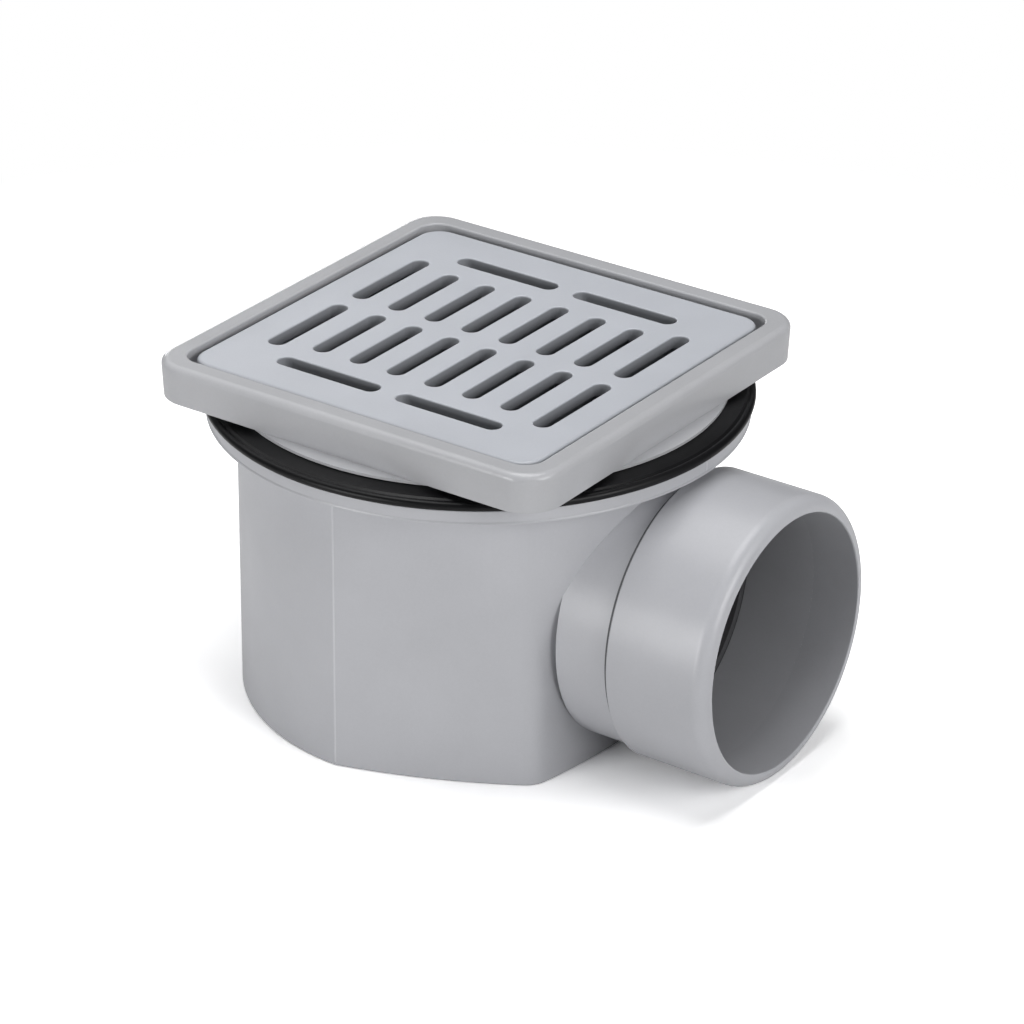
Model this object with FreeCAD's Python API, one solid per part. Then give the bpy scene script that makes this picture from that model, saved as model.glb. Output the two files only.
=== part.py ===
import FreeCAD, Part
import math
import os

# Gully trap with a square grate on top and a socket for a 110 mm drain pipe at the side.
# Millimetres. +Z is up and +X is the way the water leaves. The origin is on the body's
# upright axis, at the level that the body and the outlet sleeve stand on.

# Body
BODY_RADIUS = 100.5          # round rear half, outside
BODY_WALL = 3.2
BODY_FLOOR = 3.4
BODY_FOOT_ROUND = 1.2
CREASE_TURN = 15.5           # degrees that the wall turns inward at each side crease
CREASE_ROUND = 2.5
FLANK_RADIUS = 280.0         # gently bowed wall from a crease to a front corner
FRONT_SETBACK = 16.2         # the foot's front is this much nearer the axis than its rear
FRONT_RADIUS = 300.0
FRONT_CORNER_RADIUS = 12.0
FRONT_TOP_Z = 40.0           # the foot's plan goes up to here
SHOULDER_SETBACK = 2.2       # the same for the upper part, whose front is round
SHOULDER_CORNER_RADIUS = 45.0
SHOULDER_Z = 88.0            # the upper part's plan starts here
RIM_ABOVE_COLLAR = 5.8
RIM_OVERHANG = 12.5
RIM_THICKNESS = 6.2
RIM_ROUND = 0.8

# Outlet
PIPE_DIAMETER = 110.0        # drain pipe that the socket takes
PIPE_CLEARANCE = 0.2         # on the radius
PIPE_STOP_WIDTH = 3.2        # ledge that the pipe's end meets
PIPE_STOP_REACH = 15.2       # beyond the body's front
SOCKET_DEPTH = 54.3          # from the ledge to the mouth
COLLAR_WALL = 4.2            # neck moulded on the body
COLLAR_LENGTH = 32.5         # beyond the ledge
SLEEVE_WALL = 2.45           # over the collar
SLEEVE_BACK_REACH = 7.5      # beyond the ledge
SLEEVE_LIP_FLAT = 0.2        # between the mouth's outer and inner rounds
SLEEVE_MOUTH_ROUND = 0.5
SLEEVE_BACK_ROUND = 0.7
SLEEVE_JOINT_GAP = 0.15      # on the radius, filled by solvent cement

# Rubber ring between the rim and the frame's flange
RING_HEIGHT = 5.5
RING_OVERHANG = 2.0          # of the lower bead past the rim
RING_BEAD_RADIUS = 1.9
RING_GROOVE_DEPTH = 2.7      # narrow groove between the bead and the upper lip
RING_GROOVE_Z = 3.7
RING_LIP_SETBACK = 3.8
RING_LIP_Z = 4.3
RING_SLOPE_WIDTH = 7.6       # from the lip in to the flat top
RING_BORE_CLEARANCE = 0.5

# Frame
FRAME_SIZE = 195.4           # across the sides, at the top
FRAME_HEIGHT = 16.6
FRAME_DRAFT = 0.6            # each side is this much further in at the bottom
FRAME_CORNER_RADIUS = 16.0
FRAME_TOP_ROUND = 3.0
FRAME_TOP_WIDTH = 9.7        # border round the recess
FRAME_WALL = 3.0
FLANGE_SETBACK = 8.5         # inside the body's rim
FLANGE_THICKNESS = 1.2
FLANGE_GAP = 0.3             # above the ring
SKIRT_CLEARANCE = 7.3        # inside the body
SKIRT_WALL = 2.8
SKIRT_LENGTH = 23.0          # below the flange
SEAT_THICKNESS = 3.0
SEAT_WIDTH = 11.7            # ledge at the skirt's foot that carries the cup
RECESS_FLOOR = 3.2           # above the frame's lower edge
RECESS_CORNER_RADIUS = 9.0
RECESS_EDGE_ROUND = 0.8

# Grate
GRATE_GAP = 2.3              # to the recess, all round
GRATE_BELOW_TOP = 1.4        # its face lies this much below the frame's
GRATE_CORNER_EXTRA = 1.6     # its corners are this much rounder than the recess
GRATE_TOP_ROUND = 1.8
GRATE_PLATE = 5.5
GRATE_EDGE_WALL = 2.6
RIB_WIDTH = 3.0
RIB_LIFT = 0.5               # ribs stop this far above the recess floor
SLOT_WIDTH = 8.2
SLOT_EDGE_ROUND = 0.5
ROW_SLOTS = 6
ROW_PITCH = 18.9
ROW_OFFSET = 25.9            # each inner row's middle from the grate's middle
ROW_SLOT_LENGTH = 44.5
SIDE_SLOT_X = 66.6           # long slots beside the rows
SIDE_SLOT_Y = 28.8
SIDE_SLOT_LENGTH = 49.0
END_SLOT_X = 30.1            # long slots across the ends of the rows
END_SLOT_Y = 62.8
END_SLOT_LENGTH = 51.0
CROSS_RIB_Y = 53.4

# Removable water trap: a cup with a standpipe, and a bell over the standpipe
GASKET_THICKNESS = 2.0
GASKET_WIDTH = 3.6
GASKET_MARGIN = 0.7          # to the seat's bore, and to the cup flange's edge
CUP_FLANGE_CLEARANCE = 1.5   # inside the throat
CUP_FLANGE_THICKNESS = 3.0
CUP_WALL_CLEARANCE = 1.0     # inside the seat
CUP_WALL = 2.6
CUP_TAPER = 7.5              # the wall is this much narrower at the floor
CUP_DEPTH = 81.2             # below the seat
CUP_FLOOR = 3.0
CUP_CORNER_RADIUS = 7.0
STANDPIPE_BORE_RADIUS = 26.0
STANDPIPE_WALL = 2.6
STANDPIPE_HEIGHT = 62.0
BELL_RIM_RADIUS = 47.0
BELL_TAPER = 3.0
BELL_WALL = 2.4
BELL_RIM_GAP = 9.0           # above the cup's floor
BELL_HEADROOM = 12.0         # of the bell's top above the standpipe
BELL_CORNER_RADIUS = 9.0
BELL_RIBS = 4
BELL_RIB_WIDTH = 2.4
BELL_NOSE_LENGTH = 8.0       # the ribs reach this far down into the standpipe
BELL_NOSE_CLEARANCE = 0.4
BELL_NOSE_WIDTH = 4.0
GRIP_LENGTH = 38.0
GRIP_HEIGHT = 14.0
GRIP_WIDTH = 4.0

OVERRUN = 1.0                # cutters go this far past the faces that they open

# Outlet sizes that follow
FRONT_REACH = BODY_RADIUS - FRONT_SETBACK
SHOULDER_RADIUS = BODY_RADIUS - SHOULDER_SETBACK
BORE_RADIUS = PIPE_DIAMETER / 2 + PIPE_CLEARANCE
STOP_BORE_RADIUS = BORE_RADIUS - PIPE_STOP_WIDTH
COLLAR_RADIUS = BORE_RADIUS + COLLAR_WALL
SLEEVE_RADIUS = COLLAR_RADIUS + SLEEVE_JOINT_GAP + SLEEVE_WALL
SLEEVE_LIP_RADIUS = SLEEVE_RADIUS - BORE_RADIUS - SLEEVE_MOUTH_ROUND - SLEEVE_LIP_FLAT
PIPE_STOP_X = FRONT_REACH + PIPE_STOP_REACH
COLLAR_END_X = PIPE_STOP_X + COLLAR_LENGTH
SLEEVE_START_X = PIPE_STOP_X + SLEEVE_BACK_REACH
SLEEVE_END_X = PIPE_STOP_X + SOCKET_DEPTH
OUTLET_Z = SLEEVE_RADIUS

# Radii and widths that follow
RIM_RADIUS = BODY_RADIUS + RIM_OVERHANG
RING_RADIUS = RIM_RADIUS + RING_OVERHANG
RING_GROOVE_RADIUS = RING_RADIUS - RING_GROOVE_DEPTH
RING_LIP_RADIUS = RING_RADIUS - RING_LIP_SETBACK
RING_TOP_RADIUS = RING_LIP_RADIUS - RING_SLOPE_WIDTH
FLANGE_RADIUS = RIM_RADIUS - FLANGE_SETBACK
SKIRT_RADIUS = BODY_RADIUS - BODY_WALL - SKIRT_CLEARANCE
SKIRT_BORE_RADIUS = SKIRT_RADIUS - SKIRT_WALL
SEAT_BORE_RADIUS = SKIRT_BORE_RADIUS - SEAT_WIDTH
GASKET_BORE_RADIUS = SEAT_BORE_RADIUS + GASKET_MARGIN
GASKET_RADIUS = GASKET_BORE_RADIUS + GASKET_WIDTH
CUP_FLANGE_RADIUS = GASKET_RADIUS + GASKET_MARGIN
THROAT_RADIUS = CUP_FLANGE_RADIUS + CUP_FLANGE_CLEARANCE
CUP_RADIUS = SEAT_BORE_RADIUS - CUP_WALL_CLEARANCE
RECESS_SIZE = FRAME_SIZE - 2 * FRAME_TOP_WIDTH
GRATE_SIZE = RECESS_SIZE - 2 * GRATE_GAP
GRATE_CORNER_RADIUS = RECESS_CORNER_RADIUS + GRATE_CORNER_EXTRA

# Levels that follow
BODY_HEIGHT = OUTLET_Z + COLLAR_RADIUS + RIM_ABOVE_COLLAR
RIM_TOP_Z = BODY_HEIGHT + RIM_THICKNESS
FLANGE_Z = RIM_TOP_Z + RING_HEIGHT + FLANGE_GAP
FRAME_BOTTOM_Z = FLANGE_Z + FLANGE_THICKNESS
FRAME_TOP_Z = FRAME_BOTTOM_Z + FRAME_HEIGHT
RECESS_Z = FRAME_BOTTOM_Z + RECESS_FLOOR
SKIRT_FOOT_Z = FLANGE_Z - SKIRT_LENGTH
SEAT_Z = SKIRT_FOOT_Z + SEAT_THICKNESS
CUP_FLANGE_Z = SEAT_Z + GASKET_THICKNESS
CUP_FLOOR_Z = SEAT_Z - CUP_DEPTH
STANDPIPE_TOP_Z = CUP_FLOOR_Z + STANDPIPE_HEIGHT
BELL_RIM_Z = CUP_FLOOR_Z + CUP_FLOOR + BELL_RIM_GAP
BELL_TOP_Z = STANDPIPE_TOP_Z + BELL_HEADROOM
GRATE_TOP_Z = FRAME_TOP_Z - GRATE_BELOW_TOP
GRATE_UNDER_Z = GRATE_TOP_Z - GRATE_PLATE

UP = FreeCAD.Vector(0, 0, 1)
OUT = FreeCAD.Vector(1, 0, 0)
CENTRE = FreeCAD.Vector(0, 0, 0)


def point(x, y, z=0.0):
    return FreeCAD.Vector(x, y, z)


def arc(centre, start, end):
    """The shorter arc about centre from start to end."""
    radius = (start - centre).Length
    middle = (start + end) * 0.5 - centre
    middle.normalize()
    return Part.Arc(start, centre + middle * radius, end).toShape()


def line(start, end):
    return Part.LineSegment(start, end).toShape()


def upright_cylinder(radius, low, high):
    return Part.makeCylinder(radius, high - low, point(0, 0, low), UP)


def outlet_cylinder(radius, start_x, end_x):
    return Part.makeCylinder(radius, end_x - start_x, point(start_x, 0, OUTLET_Z), OUT)


def box(low, high):
    return Part.makeBox(high[0] - low[0], high[1] - low[1], high[2] - low[2], point(*low))


def prism(wire, height):
    return Part.Face(wire).extrude(UP * height)


def revolved(edges, centre, axis):
    """A closed section, turned once about the axis through centre."""
    face = Part.Face(Part.Wire(edges))
    return face.revolve(centre, axis, 360)


def polygon_edges(points):
    return [line(a, b) for a, b in zip(points, points[1:] + points[:1])]


def rounded_square(size, radius, z):
    """Square outline about the Z axis with round corners."""
    half = size / 2
    flat = half - radius
    edges = []
    for quarter in range(4):
        turn = FreeCAD.Rotation(UP, 90 * quarter)
        side_start = turn.multVec(point(-flat, -half, z))
        side_end = turn.multVec(point(flat, -half, z))
        corner_end = turn.multVec(point(half, -flat, z))
        corner_centre = turn.multVec(point(flat, -flat, z))
        edges.append(line(side_start, side_end))
        edges.append(arc(corner_centre, side_end, corner_end))
    return Part.Wire(edges)


def level_edges(shape, z):
    """Edges that lie wholly at one height."""
    def flat(edge):
        return abs(edge.BoundBox.ZMin - z) < 1e-4 and abs(edge.BoundBox.ZMax - z) < 1e-4
    return [edge for edge in shape.Edges if flat(edge)]


def circles_meet(first, first_radius, second, second_radius):
    """The two points where two circles in plan cross."""
    across = second - first
    distance = across.Length
    along = (distance ** 2 + first_radius ** 2 - second_radius ** 2) / (2 * distance)
    rise = math.sqrt(first_radius ** 2 - along ** 2)
    unit = across / distance
    normal = point(-unit.y, unit.x)
    return [first + unit * along + normal * rise, first + unit * along - normal * rise]


# Body

def body_outline(inset, z, front_reach, front_radius, corner_radius):
    """Plan of the body: round rear, a crease and a bowed flank on each side, and a front arc."""
    turn = math.radians(CREASE_TURN)
    front_centre = point(front_reach - front_radius, 0)
    rear_radius = BODY_RADIUS - inset
    flank_radius = FLANK_RADIUS - inset
    crease_round = max(CREASE_ROUND - inset, 0)
    halves = {}
    for side in (-1, 1):
        flank_centre = point(-math.sin(turn) * FLANK_RADIUS,
                             side * (BODY_RADIUS - math.cos(turn) * FLANK_RADIUS))
        crease = max(circles_meet(CENTRE, rear_radius - crease_round,
                                  flank_centre, flank_radius - crease_round),
                     key=lambda meeting: meeting.y * side)
        corner = max(circles_meet(flank_centre, FLANK_RADIUS - corner_radius,
                                  front_centre, front_radius - corner_radius),
                     key=lambda meeting: meeting.x)
        rear_end = CENTRE + (crease - CENTRE).normalize() * rear_radius
        flank_start = flank_centre + (crease - flank_centre).normalize() * flank_radius
        flank_end = flank_centre + (corner - flank_centre).normalize() * flank_radius
        front_end = front_centre + (corner - front_centre).normalize() * (front_radius - inset)
        parts = [arc(flank_centre, flank_start, flank_end), arc(corner, flank_end, front_end)]
        if crease_round:
            parts.insert(0, arc(crease, rear_end, flank_start))
        halves[side] = (rear_end, parts, front_end)
    rear = point(-rear_radius, 0)
    right, left = halves[-1], halves[1]
    edges = [Part.Arc(left[0], rear, right[0]).toShape()]
    edges += right[1]
    edges.append(arc(front_centre, right[2], left[2]))
    edges += reversed(left[1])
    wire = Part.Wire(edges)
    wire.translate(UP * z)
    return wire


def foot_outline(inset, z):
    return body_outline(inset, z, FRONT_REACH, FRONT_RADIUS, FRONT_CORNER_RADIUS)


def shoulder_outline(inset, z):
    return body_outline(inset, z, SHOULDER_RADIUS, SHOULDER_RADIUS, SHOULDER_CORNER_RADIUS)


def body_volume(inset, low, high):
    """The foot's plan up to one level, the shoulder's from another, and a blend between."""
    foot = prism(foot_outline(inset, low), FRONT_TOP_Z - low)
    if not inset:
        foot = foot.makeFillet(BODY_FOOT_ROUND, level_edges(foot, low))
    blend = Part.makeLoft([foot_outline(inset, FRONT_TOP_Z), shoulder_outline(inset, SHOULDER_Z)],
                          True, True)
    upper = prism(shoulder_outline(inset, SHOULDER_Z), high - SHOULDER_Z)
    return foot.fuse([blend, upper])


def make_body():
    rim = upright_cylinder(RIM_RADIUS, BODY_HEIGHT, RIM_TOP_Z)
    rim = rim.makeFillet(RIM_ROUND, level_edges(rim, BODY_HEIGHT) + level_edges(rim, RIM_TOP_Z))
    outside = body_volume(0, 0, BODY_HEIGHT + RIM_THICKNESS / 2).fuse([
        rim,
        outlet_cylinder(COLLAR_RADIUS, FRONT_REACH - BODY_WALL, COLLAR_END_X),
    ])
    inside = body_volume(BODY_WALL, BODY_FLOOR, RIM_TOP_Z + OVERRUN)
    front_bow = FRONT_RADIUS - math.sqrt(FRONT_RADIUS ** 2 - STOP_BORE_RADIUS ** 2)
    opening = outlet_cylinder(STOP_BORE_RADIUS, FRONT_REACH - BODY_WALL - front_bow - OVERRUN,
                              PIPE_STOP_X)
    socket = outlet_cylinder(BORE_RADIUS, PIPE_STOP_X, COLLAR_END_X + OVERRUN)
    return outside.cut([inside, opening, socket]).removeSplitter()


# Outlet sleeve

def make_outlet_sleeve():
    """Ring over the body's collar, with a full round lip at its mouth."""
    def at(x, radius):
        return point(x, 0, OUTLET_Z + radius)
    joint_radius = COLLAR_RADIUS + SLEEVE_JOINT_GAP
    lip_x = SLEEVE_END_X - SLEEVE_LIP_RADIUS
    lip_radius = SLEEVE_RADIUS - SLEEVE_LIP_RADIUS
    back_x = SLEEVE_START_X + SLEEVE_BACK_ROUND
    back_radius = SLEEVE_RADIUS - SLEEVE_BACK_ROUND
    mouth_x = SLEEVE_END_X - SLEEVE_MOUTH_ROUND
    mouth_radius = BORE_RADIUS + SLEEVE_MOUTH_ROUND
    edges = [
        line(at(SLEEVE_START_X, joint_radius), at(SLEEVE_START_X, back_radius)),
        arc(at(back_x, back_radius), at(SLEEVE_START_X, back_radius), at(back_x, SLEEVE_RADIUS)),
        line(at(back_x, SLEEVE_RADIUS), at(lip_x, SLEEVE_RADIUS)),
        arc(at(lip_x, lip_radius), at(lip_x, SLEEVE_RADIUS), at(SLEEVE_END_X, lip_radius)),
        line(at(SLEEVE_END_X, lip_radius), at(SLEEVE_END_X, mouth_radius)),
        arc(at(mouth_x, mouth_radius), at(SLEEVE_END_X, mouth_radius), at(mouth_x, BORE_RADIUS)),
        line(at(mouth_x, BORE_RADIUS), at(COLLAR_END_X, BORE_RADIUS)),
        line(at(COLLAR_END_X, BORE_RADIUS), at(COLLAR_END_X, joint_radius)),
        line(at(COLLAR_END_X, joint_radius), at(SLEEVE_START_X, joint_radius)),
    ]
    return revolved(edges, point(0, 0, OUTLET_Z), OUT)


# Rubber ring

def make_rim_seal():
    """Ring with a bead that stands over the rim's edge, a groove, and a lip under the flange."""
    def at(radius, rise):
        return point(radius, 0, RIM_TOP_Z + rise)
    bore = SKIRT_RADIUS + RING_BORE_CLEARANCE
    bead = RING_RADIUS - RING_BEAD_RADIUS
    bead_top = at(bead, 2 * RING_BEAD_RADIUS)
    edges = [
        line(at(bore, 0), at(bead, 0)),
        Part.Arc(at(bead, 0), at(RING_RADIUS, RING_BEAD_RADIUS), bead_top).toShape(),
        line(bead_top, at(RING_GROOVE_RADIUS, RING_GROOVE_Z)),
        line(at(RING_GROOVE_RADIUS, RING_GROOVE_Z), at(RING_LIP_RADIUS, RING_LIP_Z)),
        line(at(RING_LIP_RADIUS, RING_LIP_Z), at(RING_TOP_RADIUS, RING_HEIGHT)),
        line(at(RING_TOP_RADIUS, RING_HEIGHT), at(bore, RING_HEIGHT)),
        line(at(bore, RING_HEIGHT), at(bore, 0)),
    ]
    return revolved(edges, CENTRE, UP)


# Frame

def make_frame():
    """Square frame with a recess for the grate, a round flange below it and a skirt."""
    foot_size = FRAME_SIZE - 2 * FRAME_DRAFT
    block = Part.makeLoft([
        rounded_square(foot_size, FRAME_CORNER_RADIUS, FRAME_BOTTOM_Z),
        rounded_square(FRAME_SIZE, FRAME_CORNER_RADIUS, FRAME_TOP_Z),
    ], True, True)
    block = block.makeFillet(FRAME_TOP_ROUND, level_edges(block, FRAME_TOP_Z))

    # The rim is an upside-down channel, open from below
    channel_height = FRAME_HEIGHT - FRAME_TOP_ROUND
    channel = prism(rounded_square(foot_size - 2 * FRAME_WALL, FRAME_CORNER_RADIUS - FRAME_WALL,
                                   FRAME_BOTTOM_Z), channel_height)
    channel = channel.cut(prism(rounded_square(RECESS_SIZE + 2 * FRAME_WALL,
                                               RECESS_CORNER_RADIUS + FRAME_WALL,
                                               FRAME_BOTTOM_Z),
                                channel_height))
    flange = upright_cylinder(FLANGE_RADIUS, FLANGE_Z, FRAME_BOTTOM_Z)
    skirt = upright_cylinder(SKIRT_RADIUS, SKIRT_FOOT_Z, FLANGE_Z)
    recess = prism(rounded_square(RECESS_SIZE, RECESS_CORNER_RADIUS, RECESS_Z), FRAME_HEIGHT)
    frame = block.cut(channel).fuse([flange, skirt])
    frame = frame.cut([
        recess,
        upright_cylinder(THROAT_RADIUS, FLANGE_Z, RECESS_Z),
        upright_cylinder(SKIRT_BORE_RADIUS, SEAT_Z, FLANGE_Z),
        upright_cylinder(SEAT_BORE_RADIUS, SKIRT_FOOT_Z, SEAT_Z),
    ]).removeSplitter()
    inner_reach = RECESS_SIZE / 2 + OVERRUN
    inner_edges = [edge for edge in level_edges(frame, FRAME_TOP_Z)
                   if edge.BoundBox.XMax < inner_reach and edge.BoundBox.XMin > -inner_reach
                   and edge.BoundBox.YMax < inner_reach and edge.BoundBox.YMin > -inner_reach]
    return frame.makeFillet(RECESS_EDGE_ROUND, inner_edges)


# Grate

def slot(x, y, length, along_x, low, high):
    """Upright cutter with round ends."""
    reach = (length - SLOT_WIDTH) / 2
    half = SLOT_WIDTH / 2
    corners = [point(-reach, -half), point(reach, -half), point(reach, half), point(-reach, half)]
    edges = [
        line(corners[0], corners[1]),
        Part.Arc(corners[1], point(reach + half, 0), corners[2]).toShape(),
        line(corners[2], corners[3]),
        Part.Arc(corners[3], point(-reach - half, 0), corners[0]).toShape(),
    ]
    cutter = prism(Part.Wire(edges), high - low)
    if not along_x:
        cutter.rotate(CENTRE, UP, 90)
    cutter.translate(point(x, y, low))
    return cutter


def slot_places():
    """Middle, length and direction of every slot."""
    places = []
    for side in (-1, 1):
        for number in range(ROW_SLOTS):
            x = (number - (ROW_SLOTS - 1) / 2) * ROW_PITCH
            places.append((x, side * ROW_OFFSET, ROW_SLOT_LENGTH, False))
        for other in (-1, 1):
            places.append((side * SIDE_SLOT_X, other * SIDE_SLOT_Y, SIDE_SLOT_LENGTH, False))
            places.append((other * END_SLOT_X, side * END_SLOT_Y, END_SLOT_LENGTH, True))
    return places


def make_grate():
    """Slotted plate with an edge wall and ribs below, which stand on the recess floor."""
    plate = prism(rounded_square(GRATE_SIZE, GRATE_CORNER_RADIUS, GRATE_UNDER_Z), GRATE_PLATE)
    plate = plate.makeFillet(GRATE_TOP_ROUND, level_edges(plate, GRATE_TOP_Z))
    slots = [slot(x, y, length, along_x, GRATE_UNDER_Z - OVERRUN, GRATE_TOP_Z + OVERRUN)
             for x, y, length, along_x in slot_places()]
    plate = plate.cut(slots)
    slot_reach = GRATE_SIZE / 2 - 2 * GRATE_TOP_ROUND
    slot_edges = [edge for edge in level_edges(plate, GRATE_TOP_Z)
                  if max(abs(edge.BoundBox.XMin), abs(edge.BoundBox.XMax),
                         abs(edge.BoundBox.YMin), abs(edge.BoundBox.YMax)) < slot_reach]
    plate = plate.makeFillet(SLOT_EDGE_ROUND, slot_edges)

    # Edge wall and ribs
    depth = GRATE_UNDER_Z - RECESS_Z
    inner_size = GRATE_SIZE - 2 * GRATE_EDGE_WALL
    wall = prism(rounded_square(GRATE_SIZE, GRATE_CORNER_RADIUS, RECESS_Z), depth)
    wall = wall.cut(prism(rounded_square(inner_size, GRATE_CORNER_RADIUS - GRATE_EDGE_WALL,
                                         RECESS_Z), depth))
    low = RECESS_Z + RIB_LIFT
    reach = inner_size / 2
    ribs = []
    for number in range(ROW_SLOTS + 1):
        x = (number - ROW_SLOTS / 2) * ROW_PITCH
        ribs.append(box((x - RIB_WIDTH / 2, -CROSS_RIB_Y, low),
                        (x + RIB_WIDTH / 2, CROSS_RIB_Y, GRATE_UNDER_Z)))
    for y in (-CROSS_RIB_Y, 0, CROSS_RIB_Y):
        ribs.append(box((-reach, y - RIB_WIDTH / 2, low), (reach, y + RIB_WIDTH / 2, GRATE_UNDER_Z)))
    side_slots = [slot(side * SIDE_SLOT_X, other * SIDE_SLOT_Y, SIDE_SLOT_LENGTH, False,
                       low - OVERRUN, GRATE_UNDER_Z)
                  for side in (-1, 1) for other in (-1, 1)]
    ribs = ribs[0].fuse(ribs[1:]).cut(side_slots)
    return plate.fuse([wall, ribs]).removeSplitter()


# Water trap

def make_cup_gasket():
    ring = upright_cylinder(GASKET_RADIUS, SEAT_Z, CUP_FLANGE_Z)
    return ring.cut(upright_cylinder(GASKET_BORE_RADIUS, SEAT_Z, CUP_FLANGE_Z))


def make_trap_cup():
    """Cup hung by its flange, with an open standpipe through its floor."""
    def at(radius, z):
        return point(radius, 0, z)
    foot_radius = CUP_RADIUS - CUP_TAPER
    floor_top = CUP_FLOOR_Z + CUP_FLOOR
    top = CUP_FLANGE_Z + CUP_FLANGE_THICKNESS
    pipe_radius = STANDPIPE_BORE_RADIUS + STANDPIPE_WALL
    section = [
        at(CUP_FLANGE_RADIUS, CUP_FLANGE_Z), at(CUP_FLANGE_RADIUS, top),
        at(CUP_RADIUS - CUP_WALL, top), at(foot_radius - CUP_WALL, floor_top),
        at(pipe_radius, floor_top), at(pipe_radius, STANDPIPE_TOP_Z),
        at(STANDPIPE_BORE_RADIUS, STANDPIPE_TOP_Z), at(STANDPIPE_BORE_RADIUS, CUP_FLOOR_Z),
        at(foot_radius, CUP_FLOOR_Z), at(CUP_RADIUS, CUP_FLANGE_Z),
    ]
    cup = revolved(polygon_edges(section), CENTRE, UP)
    outer_corner = [edge for edge in level_edges(cup, CUP_FLOOR_Z)
                    if edge.BoundBox.XMax > foot_radius - 1]
    cup = cup.makeFillet(CUP_CORNER_RADIUS, outer_corner)
    inner_corner = [edge for edge in level_edges(cup, floor_top)
                    if edge.BoundBox.XMax > foot_radius - CUP_WALL - 1]
    return cup.makeFillet(CUP_CORNER_RADIUS - CUP_WALL, inner_corner)


def make_trap_bell():
    """Upside-down cup on the standpipe, held clear of it by ribs, with a grip on top."""
    def at(radius, z):
        return point(radius, 0, z)
    top_radius = BELL_RIM_RADIUS - BELL_TAPER
    ceiling = BELL_TOP_Z - BELL_WALL
    shell = revolved(polygon_edges([
        at(BELL_RIM_RADIUS, BELL_RIM_Z), at(top_radius, BELL_TOP_Z), at(0, BELL_TOP_Z),
        at(0, BELL_RIM_Z),
    ]), CENTRE, UP)
    shell = shell.makeFillet(BELL_CORNER_RADIUS, level_edges(shell, BELL_TOP_Z))
    hollow = revolved(polygon_edges([
        at(BELL_RIM_RADIUS - BELL_WALL, BELL_RIM_Z), at(top_radius - BELL_WALL, ceiling),
        at(0, ceiling), at(0, BELL_RIM_Z),
    ]), CENTRE, UP)
    hollow = hollow.makeFillet(BELL_CORNER_RADIUS - BELL_WALL, level_edges(hollow, ceiling))

    # Each rib rests on the standpipe's edge and reaches down just inside it
    nose_radius = STANDPIPE_BORE_RADIUS - BELL_NOSE_CLEARANCE
    half = BELL_RIB_WIDTH / 2
    ribs = []
    for number in range(BELL_RIBS):
        rib = box((nose_radius - BELL_NOSE_WIDTH, -half, STANDPIPE_TOP_Z),
                  (top_radius - BELL_WALL / 2, half, BELL_TOP_Z - BELL_CORNER_RADIUS))
        rib = rib.fuse(box((nose_radius - BELL_NOSE_WIDTH, -half, STANDPIPE_TOP_Z - BELL_NOSE_LENGTH),
                           (nose_radius, half, ceiling + BELL_WALL / 2)))
        rib = rib.fuse(box((nose_radius, -half, STANDPIPE_TOP_Z),
                           (top_radius - BELL_CORNER_RADIUS, half, ceiling + BELL_WALL / 2)))
        rib.rotate(CENTRE, UP, 45 + 360 / BELL_RIBS * number)
        ribs.append(rib)
    grip = box((-GRIP_LENGTH / 2, -GRIP_WIDTH / 2, BELL_TOP_Z - BELL_WALL / 2),
               (GRIP_LENGTH / 2, GRIP_WIDTH / 2, BELL_TOP_Z + GRIP_HEIGHT))
    upright = [edge for edge in grip.Edges
               if abs(edge.BoundBox.ZMax - BELL_TOP_Z - GRIP_HEIGHT) < 1e-4
               and edge.BoundBox.YLength > 1]
    grip = grip.makeFillet(GRIP_HEIGHT / 2, [edge for edge in upright if edge.BoundBox.XLength < 1e-4])
    return shell.cut(hollow).fuse(ribs + [grip]).removeSplitter()


PIECES = {
    "body": make_body,
    "outlet_sleeve": make_outlet_sleeve,
    "rim_seal": make_rim_seal,
    "frame": make_frame,
    "grate": make_grate,
    "cup_gasket": make_cup_gasket,
    "trap_cup": make_trap_cup,
    "trap_bell": make_trap_bell,
}

os.makedirs("parts", exist_ok=True)
for name, make in PIECES.items():
    shape = make()
    if len(shape.Solids) == 1:
        shape = shape.Solids[0]
    shape.exportStep("parts/" + name + ".step")
    print(name, "solids", len(shape.Solids), "valid", shape.isValid(), "volume", round(shape.Volume))
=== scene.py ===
import math
import bmesh
import bpy
from mathutils import Matrix, Vector


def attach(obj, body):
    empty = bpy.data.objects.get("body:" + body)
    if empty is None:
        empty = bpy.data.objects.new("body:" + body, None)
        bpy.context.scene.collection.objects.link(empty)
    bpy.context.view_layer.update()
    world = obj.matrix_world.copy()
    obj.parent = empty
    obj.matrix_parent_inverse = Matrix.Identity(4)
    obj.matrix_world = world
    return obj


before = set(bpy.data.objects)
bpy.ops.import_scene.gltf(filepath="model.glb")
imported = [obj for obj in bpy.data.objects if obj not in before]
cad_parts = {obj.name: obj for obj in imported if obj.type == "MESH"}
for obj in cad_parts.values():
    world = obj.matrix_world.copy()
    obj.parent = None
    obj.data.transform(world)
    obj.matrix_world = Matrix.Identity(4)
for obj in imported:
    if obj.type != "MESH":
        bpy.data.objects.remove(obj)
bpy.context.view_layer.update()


# Camera, as it was fitted to the photograph

FOCAL_PIXELS = 4506.76
PHOTO_WIDTH = 1024
SENSOR_WIDTH = 36.0
CAMERA_RIGHT = Vector((0.8163, 0.5776, 0.0072))
CAMERA_UP = Vector((-0.2648, 0.3630, 0.8934))
CAMERA_BACK = Vector((0.5134, -0.7312, 0.4493))
CAMERA_PLACE = Vector((0.9848, -1.3778, 0.9279))
CAMERA_CLIP_END = 20

# The part's sizes that the trim and the painted shade follow, in metres

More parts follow.
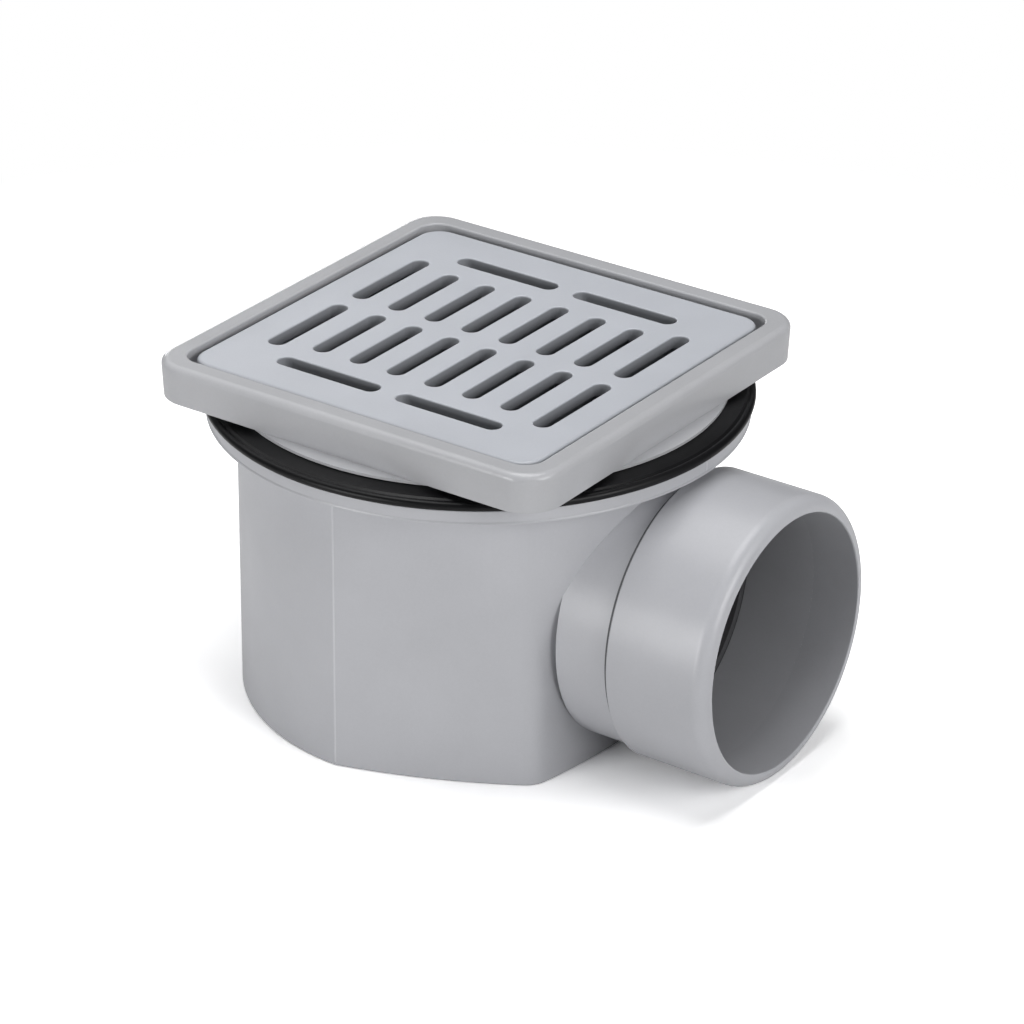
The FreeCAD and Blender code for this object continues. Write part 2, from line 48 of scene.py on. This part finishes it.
BODY_RADIUS = 0.1005
FLANK_RADIUS = 0.280
CREASE_TURN = math.radians(15.5)
CREASE_ROUND = 0.0025
RIM_RADIUS = 0.113
RIM_LOW, RIM_HIGH = 0.1272, 0.1334
OUTLET_HEIGHT = 0.0620
COLLAR_RADIUS = 0.0594
JOINT_X = 0.1070                      # the sleeve's rear edge

# Painted shade by place, for the shadow in the socket and in the grate's slots: where it starts and
# ends, and how much of the colour is left

SOCKET_EDGE = 0.0554, 0.0558          # from the outlet's axis; within it lies the bore
WALL_INSIDE = 0.060, 0.061            # along X; the bore's side of the pot
PIPE_STOP_EDGE = 0.0997, 0.1000       # along X; the pipe stop and what lies behind it
SOCKET_DEPTH = 0.0997, 0.1400         # along X; the socket's inner part
PIPE_STOP_LEFT = 0.20
SOCKET_LEFT = 0.72
SLOT_EDGE = 0.1546, 0.1552            # along Z; the grate's slots, just under its top
SLOT_LEFT = 0.62

# Scales of the plastic's noise

CLOUD_SCALE = 22.0
SPECK_SCALE = 900.0
SPECK_SHARE = 0.3
GLOSS_SCALE = 60.0
GRAIN_SCALE = 1400.0

# Trim

LINE_WIDTH = 0.0009
CREASE_LINE_PROUD = 0.00025
RIM_LINE_PROUD = 0.00030
CREASE_LINE_LOW = 0.0015
RIM_LINE_LOW = RIM_LOW + 0.0010
RIM_LINE_HIGH = RIM_HIGH - 0.0008
BEAD_STEPS = 8
BEAD_SUNK = 0.0001
BEAD_END = 0.0012                     # a bead fades out over this length
BEAD_END_SHARE = 0.15                 # to this share of its height
RING_STEPS = 240
RING_SHARP_ANGLE = math.radians(35)
RIM_EDGE_PROFILE = (                  # radius, height
    (0.1120, 0.12722), (0.11315, 0.12722), (0.11330, 0.12740),
    (0.11330, 0.12775), (0.11300, 0.12830), (0.1120, 0.12830))
JOINT_PROFILE = (                     # beyond the collar's surface, beyond the sleeve's edge
    (-0.0003, -0.0021), (0.00012, -0.0020), (0.0003, -0.0012),
    (0.0012, -0.0001), (0.0012, 0.0002), (-0.0003, 0.0002))

# Stage

FLOOR_REACH = 6.0
FLOOR_PALE = (0.80, 0.80, 0.80, 1)    # what lights the object
FLOOR_SEEN = (1.65, 1.65, 1.65, 1)    # what the camera sees, with the shadow
FLOOR_FADE = 0.25, 0.60               # from here to there it turns plain white
WORLD_STRENGTH = 0.02
LAMP_AIM = Vector((0, 0, 0.08))
LAMPS = (  # name, azimuth from +X, elevation, power, size, distance
    ("top", 0, 89, 7.0, 0.7, 1.0),
    ("front", -104, 8, 10.8, 0.7, 1.5),
    ("right", -9, 20, 21.0, 1.1, 2.2),
    ("right_high", 12, 28, 2.8, 0.7, 1.5),
    ("left_rear", 170, 50, 12.5, 1.9, 2.2),
    ("rear", 140, 8, 8.0, 0.8, 2.2),
)


def make_camera():
    data = bpy.data.cameras.new("camera")
    data.sensor_width = SENSOR_WIDTH
    data.lens = FOCAL_PIXELS * SENSOR_WIDTH / PHOTO_WIDTH
    data.clip_end = CAMERA_CLIP_END
    camera = bpy.data.objects.new("camera", data)
    turn = Matrix((CAMERA_RIGHT, CAMERA_UP, CAMERA_BACK)).transposed()
    camera.matrix_world = Matrix.Translation(CAMERA_PLACE) @ turn.to_4x4()
    bpy.context.scene.collection.objects.link(camera)
    bpy.context.scene.camera = camera


# Materials

def new_material(name):
    material = bpy.data.materials.new(name)
    material.use_nodes = True
    tree = material.node_tree
    tree.nodes.clear()
    return material, tree


def add(tree, kind, **settings):
    node = tree.nodes.new(kind)
    for key, value in settings.items():
        setattr(node, key, value)
    return node


def noise(tree, coordinates, scale, detail=2.0, roughness=0.5):
    node = add(tree, "ShaderNodeTexNoise")
    node.inputs["Scale"].default_value = scale
    node.inputs["Detail"].default_value = detail
    node.inputs["Roughness"].default_value = roughness
    tree.links.new(coordinates, node.inputs["Vector"])
    return node.outputs["Fac"]


def remap(tree, value, low, high, new_low, new_high):
    node = add(tree, "ShaderNodeMapRange")
    for key, number in (("From Min", low), ("From Max", high),
                        ("To Min", new_low), ("To Max", new_high)):
        node.inputs[key].default_value = number
    tree.links.new(value, node.inputs["Value"])
    return node.outputs["Result"]


def axis_part(tree, coordinates, axis):
    parts = add(tree, "ShaderNodeSeparateXYZ")
    tree.links.new(coordinates, parts.inputs[0])
    return parts.outputs[axis]


def product(tree, first, second):
    node = add(tree, "ShaderNodeMath", operation="MULTIPLY")
    tree.links.new(first, node.inputs[0])
    tree.links.new(second, node.inputs[1])
    return node.outputs[0]


def painted_bore_shade(tree, coordinates):
    """Painted shade: darker colour on the pipe stop and behind it, and a little darker deep in the
    socket, where the shadow falls.
    """
    across = add(tree, "ShaderNodeVectorMath", operation="MULTIPLY")
    across.inputs[1].default_value = (0, 1, 1)
    tree.links.new(coordinates, across.inputs[0])
    from_axis = add(tree, "ShaderNodeVectorMath", operation="DISTANCE")
    from_axis.inputs[1].default_value = (0, 0, OUTLET_HEIGHT)
    tree.links.new(across.outputs[0], from_axis.inputs[0])
    along = axis_part(tree, coordinates, "X")
    in_bore = product(tree, remap(tree, from_axis.outputs["Value"], *SOCKET_EDGE, 1, 0),
                      remap(tree, along, *WALL_INSIDE, 0, 1))
    depth = product(tree, remap(tree, along, *PIPE_STOP_EDGE, PIPE_STOP_LEFT, 1),
                    remap(tree, along, *SOCKET_DEPTH, SOCKET_LEFT, 1))
    mix = add(tree, "ShaderNodeMix", data_type="FLOAT")
    mix.inputs["A"].default_value = 1.0
    tree.links.new(in_bore, mix.inputs["Factor"])
    tree.links.new(depth, mix.inputs["B"])
    return mix.outputs["Result"]


def painted_slot_shade(tree, coordinates):
    """Painted shade: darker colour on the slot walls below the grate's top, where the shadow falls.
    """
    return remap(tree, axis_part(tree, coordinates, "Z"), *SLOT_EDGE, SLOT_LEFT, 1)


def plastic(name, colour, spread=0.04, roughness=(0.29, 0.36), grain=0.00002, specular=0.45,
            shade=None):
    """Moulded plastic: faint clouding in colour and gloss, a fine grain, and painted shade by place
    where given.
    """
    material, tree = new_material(name)
    coordinates = add(tree, "ShaderNodeTexCoord").outputs["Object"]
    surface = add(tree, "ShaderNodeBsdfPrincipled")
    output = add(tree, "ShaderNodeOutputMaterial")
    tree.links.new(surface.outputs["BSDF"], output.inputs["Surface"])
    surface.inputs["Specular IOR Level"].default_value = specular

    clouds = noise(tree, coordinates, CLOUD_SCALE, 3.0, 0.55)
    specks = noise(tree, coordinates, SPECK_SCALE, 1.0)
    blend = add(tree, "ShaderNodeMath", operation="MULTIPLY_ADD")
    blend.inputs[1].default_value = SPECK_SHARE
    tree.links.new(specks, blend.inputs[0])
    tree.links.new(clouds, blend.inputs[2])
    ramp = add(tree, "ShaderNodeMix", data_type="RGBA")
    ramp.inputs["A"].default_value = (*[c * (1 - spread) for c in colour], 1)
    ramp.inputs["B"].default_value = (*[c * (1 + spread) for c in colour], 1)
    tree.links.new(remap(tree, blend.outputs[0], 0.40, 0.90, 0.0, 1.0), ramp.inputs["Factor"])
    tint = ramp.outputs["Result"]
    # Painted shade, where given: the colour is darkened by place
    if shade:
        shaded = add(tree, "ShaderNodeVectorMath", operation="SCALE")
        tree.links.new(tint, shaded.inputs[0])
        tree.links.new(shade(tree, coordinates), shaded.inputs["Scale"])
        tint = shaded.outputs[0]
    tree.links.new(tint, surface.inputs["Base Color"])

    gloss = noise(tree, coordinates, GLOSS_SCALE, 4.0, 0.6)
    tree.links.new(remap(tree, gloss, 0.3, 0.7, *roughness), surface.inputs["Roughness"])

    bump = add(tree, "ShaderNodeBump")
    bump.inputs["Strength"].default_value = 1.0
    bump.inputs["Distance"].default_value = grain
    tree.links.new(noise(tree, coordinates, GRAIN_SCALE, 2.0), bump.inputs["Height"])
    tree.links.new(bump.outputs["Normal"], surface.inputs["Normal"])
    return material


def paint(node, material):
    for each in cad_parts[node].material_slots:
        each.material = material


# Thin trim on the body

def add_piece(name, form, material, sharp_angle=None):
    """Make a mesh object of the form, riding on the gully's body."""
    mesh = bpy.data.meshes.new(name)
    form.to_mesh(mesh)
    form.free()
    if sharp_angle is not None:
        mesh.set_sharp_from_angle(angle=sharp_angle)
    piece = bpy.data.objects.new(name, mesh)
    bpy.context.scene.collection.objects.link(piece)
    mesh.materials.append(material)
    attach(piece, "gully_body")


def bead(name, base, outward, low, high, proud, material):
    """A fine upright ridge of half-round section, sunk a little into the wall behind it."""
    form = bmesh.new()
    side = Vector((-outward.y, outward.x, 0))
    levels = ((low, BEAD_END_SHARE), (low + BEAD_END, 1.0),
              (high - BEAD_END, 1.0), (high, BEAD_END_SHARE))
    rows = []
    for level, share in levels:
        row = []
        for step in range(BEAD_STEPS + 1):
            turn = math.pi * step / BEAD_STEPS
            out = proud * share * math.sin(turn) - BEAD_SUNK
            across = LINE_WIDTH / 2 * math.cos(turn)
            place = base + side * across + outward * out + Vector((0, 0, level))
            row.append(form.verts.new(place))
        rows.append(row)
    for lower, upper in zip(rows, rows[1:]):
        for a, b, c, d in zip(lower, lower[1:], upper[1:], upper):
            form.faces.new((a, b, c, d))
        form.faces.new((lower[-1], lower[0], upper[0], upper[-1]))
    form.faces.new(rows[0])
    form.faces.new(list(reversed(rows[-1])))
    bmesh.ops.recalc_face_normals(form, faces=form.faces)
    for face in form.faces:
        face.smooth = len(face.verts) == 4
    add_piece(name, form, material)


def crease_point(side):
    """Middle of the small round between the rear wall and a flank, and its outward direction."""
    flank_centre = Vector((-math.sin(CREASE_TURN) * FLANK_RADIUS,
                           side * (BODY_RADIUS - math.cos(CREASE_TURN) * FLANK_RADIUS), 0))
    reach = flank_centre.length
    rear, flank = BODY_RADIUS - CREASE_ROUND, FLANK_RADIUS - CREASE_ROUND
    along = (reach ** 2 + rear ** 2 - flank ** 2) / (2 * reach)
    rise = math.sqrt(rear ** 2 - along ** 2)
    unit = flank_centre / reach
    normal = Vector((-unit.y, unit.x, 0))
    centre = max((unit * along + normal * rise, unit * along - normal * rise),
                 key=lambda place: place.y * side)
    outward = (centre.normalized() + (centre - flank_centre).normalized()).normalized()
    return centre + outward * CREASE_ROUND, outward


def ring(name, profile, axis_place, axis, material):
    """A closed ring: a small profile of (radius, distance along the axis) turned about the axis."""
    form = bmesh.new()
    across = Vector((0, 1, 0)) if axis.x else Vector((1, 0, 0))
    rise = axis.cross(across)
    loops = []
    for step in range(RING_STEPS):
        turn = 2 * math.pi * step / RING_STEPS
        outward = across * math.cos(turn) + rise * math.sin(turn)
        loops.append([form.verts.new(axis_place + outward * radius + axis * along)
                      for radius, along in profile])
    for first, second in zip(loops, loops[1:] + loops[:1]):
        for index in range(len(profile)):
            following = (index + 1) % len(profile)
            form.faces.new((first[index], first[following], second[following], second[index]))
    bmesh.ops.recalc_face_normals(form, faces=form.faces)
    for face in form.faces:
        face.smooth = True
    add_piece(name, form, material, RING_SHARP_ANGLE)


# Floor, light and world

def make_floor():
    mesh = bpy.data.meshes.new("floor")
    mesh.from_pydata([(-FLOOR_REACH, -FLOOR_REACH, 0), (FLOOR_REACH, -FLOOR_REACH, 0),
                      (FLOOR_REACH, FLOOR_REACH, 0), (-FLOOR_REACH, FLOOR_REACH, 0)],
                     [], [(0, 1, 2, 3)])
    floor = bpy.data.objects.new("floor", mesh)
    bpy.context.scene.collection.objects.link(floor)
    material, tree = new_material("floor_paper")
    paper = add(tree, "ShaderNodeBsdfDiffuse")
    paper.inputs["Color"].default_value = FLOOR_PALE
    seen_paper = add(tree, "ShaderNodeBsdfDiffuse")
    seen_paper.inputs["Color"].default_value = FLOOR_SEEN
    white = add(tree, "ShaderNodeEmission")
    away = add(tree, "ShaderNodeVectorMath", operation="LENGTH")
    tree.links.new(add(tree, "ShaderNodeTexCoord").outputs["Object"], away.inputs[0])
    seen = add(tree, "ShaderNodeMixShader")
    tree.links.new(remap(tree, away.outputs["Value"], *FLOOR_FADE, 0, 1), seen.inputs[0])
    tree.links.new(seen_paper.outputs[0], seen.inputs[1])
    tree.links.new(white.outputs[0], seen.inputs[2])
    rays = add(tree, "ShaderNodeLightPath")
    mix = add(tree, "ShaderNodeMixShader")
    tree.links.new(rays.outputs["Is Camera Ray"], mix.inputs[0])
    tree.links.new(paper.outputs[0], mix.inputs[1])
    tree.links.new(seen.outputs[0], mix.inputs[2])
    output = add(tree, "ShaderNodeOutputMaterial")
    tree.links.new(mix.outputs[0], output.inputs["Surface"])
    mesh.materials.append(material)


def make_world():
    world = bpy.data.worlds.new("studio")
    bpy.context.scene.world = world
    world.use_nodes = True
    background = world.node_tree.nodes["Background"]
    background.inputs["Color"].default_value = (1.0, 1.0, 1.0, 1)
    background.inputs["Strength"].default_value = WORLD_STRENGTH


def lamp(name, azimuth, elevation, power, size, distance):
    """A square soft light, aimed at the middle of the object."""
    data = bpy.data.lights.new(name, "AREA")
    data.size = size
    data.energy = power
    light = bpy.data.objects.new(name, data)
    turn, rise = math.radians(azimuth), math.radians(elevation)
    away = Vector((math.cos(turn) * math.cos(rise), math.sin(turn) * math.cos(rise),
                   math.sin(rise)))
    light.location = LAMP_AIM + away * distance
    light.rotation_euler = (-away).to_track_quat("-Z", "Y").to_euler()
    light.visible_camera = False
    bpy.context.scene.collection.objects.link(light)


make_camera()

BODY = plastic("body_plastic", (0.455, 0.460, 0.485), shade=painted_bore_shade)
# Mould lines: the body's colour made lighter, a painted highlight for the light that the fine
# ridges catch
LINE_PAINTED_HIGHLIGHT = plastic("line_painted_highlight", (0.540, 0.545, 0.570))
SLEEVE = plastic("sleeve_plastic", (0.438, 0.443, 0.468), shade=painted_bore_shade)
FRAME = plastic("frame_plastic", (0.430, 0.434, 0.452), roughness=(0.21, 0.26))
GRATE = plastic("grate_plastic", (0.478, 0.496, 0.536), roughness=(0.36, 0.46),
                shade=painted_slot_shade)
# The trap cup and bell are made much darker than their plastic: painted shade for the dark inside
# of the gully
CUP_PAINTED_SHADE = plastic("trap_plastic", (0.10, 0.10, 0.104))
BELL_PAINTED_SHADE = plastic("bell_painted_shade", (0.10, 0.10, 0.104))
RUBBER = dict(colour=(0.006, 0.006, 0.0066), spread=0.15, roughness=(0.30, 0.40),
              grain=0.00003, specular=0.18)
SEAL = plastic("seal_rubber", **RUBBER)
GASKET = plastic("gasket_rubber", **RUBBER)
# A dark bead in the corner of collar and sleeve: painted shadow of the joint's step
JOINT_SHADOW = plastic("joint_painted_shadow", (0.110, 0.112, 0.116), spread=0.10, roughness=(0.45, 0.55),
                 grain=0.00003, specular=0.2)

for node, material in (("body", BODY), ("outlet_sleeve", SLEEVE), ("frame", FRAME),
                       ("grate", GRATE), ("trap_cup", CUP_PAINTED_SHADE), ("trap_bell", BELL_PAINTED_SHADE),
                       ("rim_seal", SEAL), ("cup_gasket", GASKET)):
    paint(node, material)

# Fine mould lines in the lighter colour, a painted highlight; the rim's lower edge; and a dark bead
# in the corner of collar and sleeve, a painted shadow line
for side, crease_name, rim_name in ((-1, "crease_line_right", "rim_line_front"),
                                    (1, "crease_line_left", "rim_line_rear")):
    place, outward = crease_point(side)
    bead(crease_name, place, outward, CREASE_LINE_LOW, RIM_LOW, CREASE_LINE_PROUD, LINE_PAINTED_HIGHLIGHT)
    bead(rim_name, Vector((-side * RIM_RADIUS, 0, 0)), Vector((-side, 0, 0)),
         RIM_LINE_LOW, RIM_LINE_HIGH, RIM_LINE_PROUD, LINE_PAINTED_HIGHLIGHT)
ring("rim_edge_line", RIM_EDGE_PROFILE, Vector((0, 0, 0)), Vector((0, 0, 1)), BODY)
ring("joint_bead", [(COLLAR_RADIUS + out, JOINT_X + along) for out, along in JOINT_PROFILE],
     Vector((0, 0, OUTLET_HEIGHT)), Vector((1, 0, 0)), JOINT_SHADOW)

make_floor()
make_world()
for settings in LAMPS:
    lamp(*settings)

bpy.context.scene.view_settings.view_transform = "Standard"
